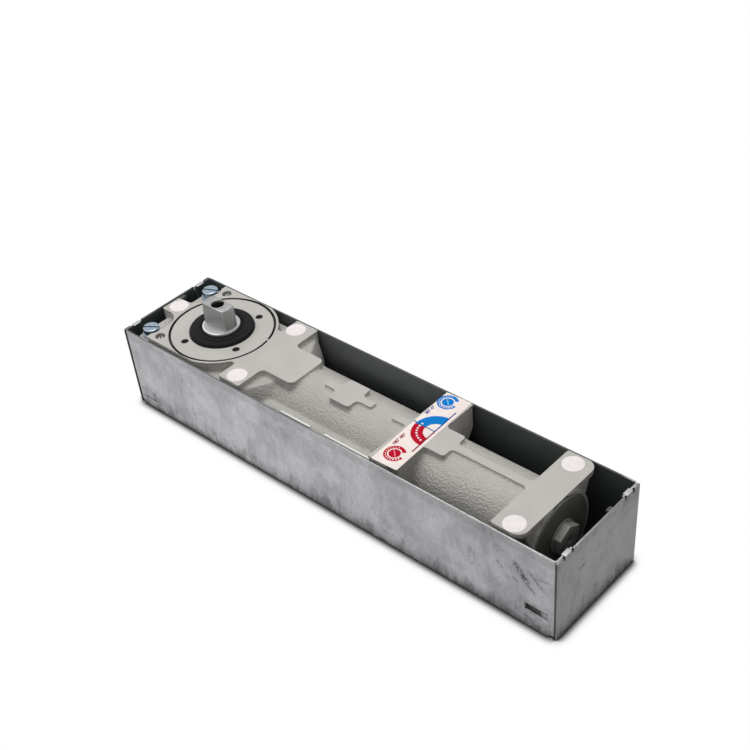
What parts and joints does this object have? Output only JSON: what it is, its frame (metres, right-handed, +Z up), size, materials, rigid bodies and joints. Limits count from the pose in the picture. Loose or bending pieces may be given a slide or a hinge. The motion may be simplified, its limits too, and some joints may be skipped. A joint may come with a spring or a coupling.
{
  "type": "floor spring door closer",
  "caption": "Floor spring: cast closer body with a flatted spindle, cam, roller, piston and spring, set in an open sheet steel floor box.",
  "frame": {"origin": "on the spindle axis, at the underside of the floor box", "axes": "+X towards the spring end along the box, +Z up along the spindle, +Y to the left of +X"},
  "size_m": [0.34, 0.074, 0.079],
  "materials": {
    "box_sheet": "galvanised sheet, streaked",
    "body_paint": "light grey paint on sand casting, milled lands",
    "cap_paint": "light grey, turned",
    "seal_rubber": "satin black",
    "zinc": "blue zinc plate",
    "screw_steel": "dark, oiled",
    "spindle_steel": "ground steel",
    "bearing_steel": "polished",
    "piston_steel": "turned",
    "spring_steel": "oil tempered",
    "cap_black": "dark phosphate",
    "brass": "turned",
    "sticker": "matt white",
    "label": "printed white foil"
  },
  "bodies": {
    "housing": {"box_trough": "box_sheet", "near_end_plate": "box_sheet", "far_end_plate": "box_sheet", "box_pillars": "box_sheet", "closer_body": "body_paint", "bearing_cap": "cap_paint", "cap_oring": "seal_rubber", "fixing_screws": "zinc", "fixing_washers": "zinc", "levelling_screws": "screw_steel", "spindle_seal": "seal_rubber", "upper_bearing_outer": "bearing_steel", "upper_bearing_balls": "bearing_steel", "lower_bearing_outer": "bearing_steel", "lower_bearing_balls": "bearing_steel", "end_cap": "cap_black", "end_cap_oring": "seal_rubber", "stem_oring": "seal_rubber", "hole_stickers": "sticker", "dial_label": "label"},
    "spindle": {"spindle": "spindle_steel", "upper_bearing_inner": "bearing_steel", "lower_bearing_inner": "bearing_steel"},
    "piston": {"piston": "piston_steel", "piston_ring": "seal_rubber", "roller_pin": "bearing_steel", "check_valve_sleeve": "brass"},
    "roller": {"cam_roller": "bearing_steel"},
    "check_ball": {"check_valve_ball": "bearing_steel"},
    "spring_seat": {"spring_seat": "piston_steel", "closing_spring": "spring_steel"},
    "adjuster": {"adjusting_screw": "screw_steel"},
    "swing_valve_ring": {"swing_valve_oring": "seal_rubber"},
    "swing_valve": {"swing_valve": "brass"},
    "latch_valve_ring": {"latch_valve_oring": "seal_rubber"},
    "latch_valve": {"latch_valve": "brass"}
  },
  "joints": [
    {"name": "spindle_turn", "type": "hinge", "parent": "housing", "child": "spindle", "pos_m": [0, 0, 0.05], "axis": [0, 0, 1], "range_deg": [0, 180], "stiffness_Nm_per_rad": 0.6, "springref_deg": -28.65},
    {"name": "piston_slide", "type": "slide", "parent": "housing", "child": "piston", "axis": [1, 0, 0], "range_m": [0, 0.016], "deforming": ["closing_spring"]},
    {"name": "roller_spin", "type": "hinge", "parent": "piston", "child": "roller", "pos_m": [0.022, 0, 0.0345], "axis": [0, 0, 1], "continuous": true},
    {"name": "check_ball_lift", "type": "slide", "parent": "piston", "child": "check_ball", "axis": [1, 0, 0], "range_m": [0, 0.001]},
    {"name": "adjuster_turn", "type": "hinge", "parent": "housing", "child": "adjuster", "pos_m": [0.262, 0, 0.0345], "axis": [1, 0, 0], "range_deg": [0, 1530]},
    {"name": "seat_slide", "type": "slide", "parent": "housing", "child": "spring_seat", "axis": [-1, 0, 0], "range_m": [0, 0.0085]},
    {"name": "swing_valve_rise", "type": "slide", "parent": "housing", "child": "swing_valve_ring", "axis": [0, 0, 1], "range_m": [0, 0.0015]},
    {"name": "swing_valve_turn", "type": "hinge", "parent": "swing_valve_ring", "child": "swing_valve", "pos_m": [0.166, -0.026, 0.05], "axis": [0, 0, 1], "range_deg": [0, 540]},
    {"name": "latch_valve_rise", "type": "slide", "parent": "housing", "child": "latch_valve_ring", "axis": [0, 0, 1], "range_m": [0, 0.0015]},
    {"name": "latch_valve_turn", "type": "hinge", "parent": "latch_valve_ring", "child": "latch_valve", "pos_m": [0.166, 0.026, 0.05], "axis": [0, 0, 1], "range_deg": [0, 540]}
  ],
  "couplings": [
    {"joint": "spindle_turn", "follows": "piston_slide", "rad_per_m": 196.35},
    {"joint": "adjuster_turn", "follows": "seat_slide", "rad_per_m": 3141.6},
    {"joint": "swing_valve_turn", "follows": "swing_valve_rise", "rad_per_m": 6283.2},
    {"joint": "latch_valve_turn", "follows": "latch_valve_rise", "rad_per_m": 6283.2}
  ]
}
